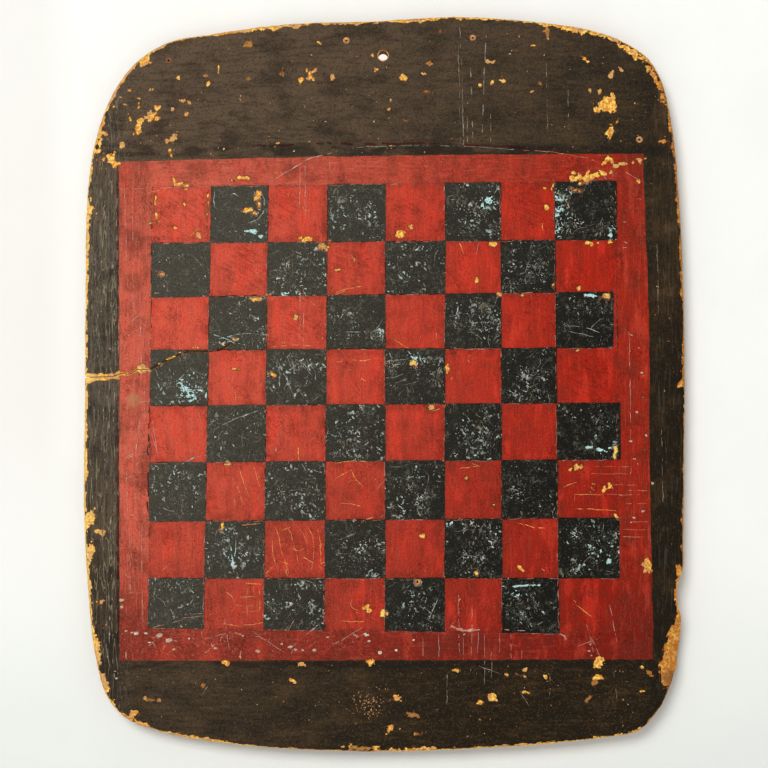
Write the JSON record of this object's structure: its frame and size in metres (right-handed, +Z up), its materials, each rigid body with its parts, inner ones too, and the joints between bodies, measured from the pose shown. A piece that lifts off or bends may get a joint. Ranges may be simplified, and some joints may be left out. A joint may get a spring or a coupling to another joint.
{
  "type": "checkerboard",
  "caption": "Painted one-board checkerboard with bowed sides, worn round corners and a red field of black and red squares, hung flat from a hole in its top band.",
  "frame": {"origin": "the hanging hole's axis at the back face", "axes": "+Z up as the board hangs, -Y out of the play face, +X to the right of someone who faces the board"},
  "size_m": [0.3918, 0.0134, 0.4789],
  "materials": {
    "aged_wood": "bare worn wood, amber where the paint is lost, browner at the back",
    "border_paint": "brushed dark brown oil paint, worn, low sheen",
    "field_paint": "thin brushed brick red paint, dulled",
    "blue_paint": "chalky pale blue undercoat, seen where the black is worn",
    "black_paint": "worn black paint, flecked, low sheen",
    "red_paint": "second coat of brighter red, scratched"
  },
  "bodies": {
    "root": {"panel": "aged_wood", "border_coat": "border_paint", "field_coat": "field_paint", "blue_undercoat_rank_1": "blue_paint", "blue_undercoat_rank_2": "blue_paint", "blue_undercoat_rank_3": "blue_paint", "blue_undercoat_rank_4": "blue_paint", "blue_undercoat_rank_5": "blue_paint", "blue_undercoat_rank_6": "blue_paint", "blue_undercoat_rank_7": "blue_paint", "blue_undercoat_rank_8": "blue_paint", "dark_squares_rank_1": "black_paint", "dark_squares_rank_2": "black_paint", "dark_squares_rank_3": "black_paint", "dark_squares_rank_4": "black_paint", "dark_squares_rank_5": "black_paint", "dark_squares_rank_6": "black_paint", "dark_squares_rank_7": "black_paint", "dark_squares_rank_8": "black_paint", "light_squares_rank_1": "red_paint", "light_squares_rank_2": "red_paint", "light_squares_rank_3": "red_paint", "light_squares_rank_4": "red_paint", "light_squares_rank_5": "red_paint", "light_squares_rank_6": "red_paint", "light_squares_rank_7": "red_paint", "light_squares_rank_8": "red_paint"}
  },
  "joints": []
}
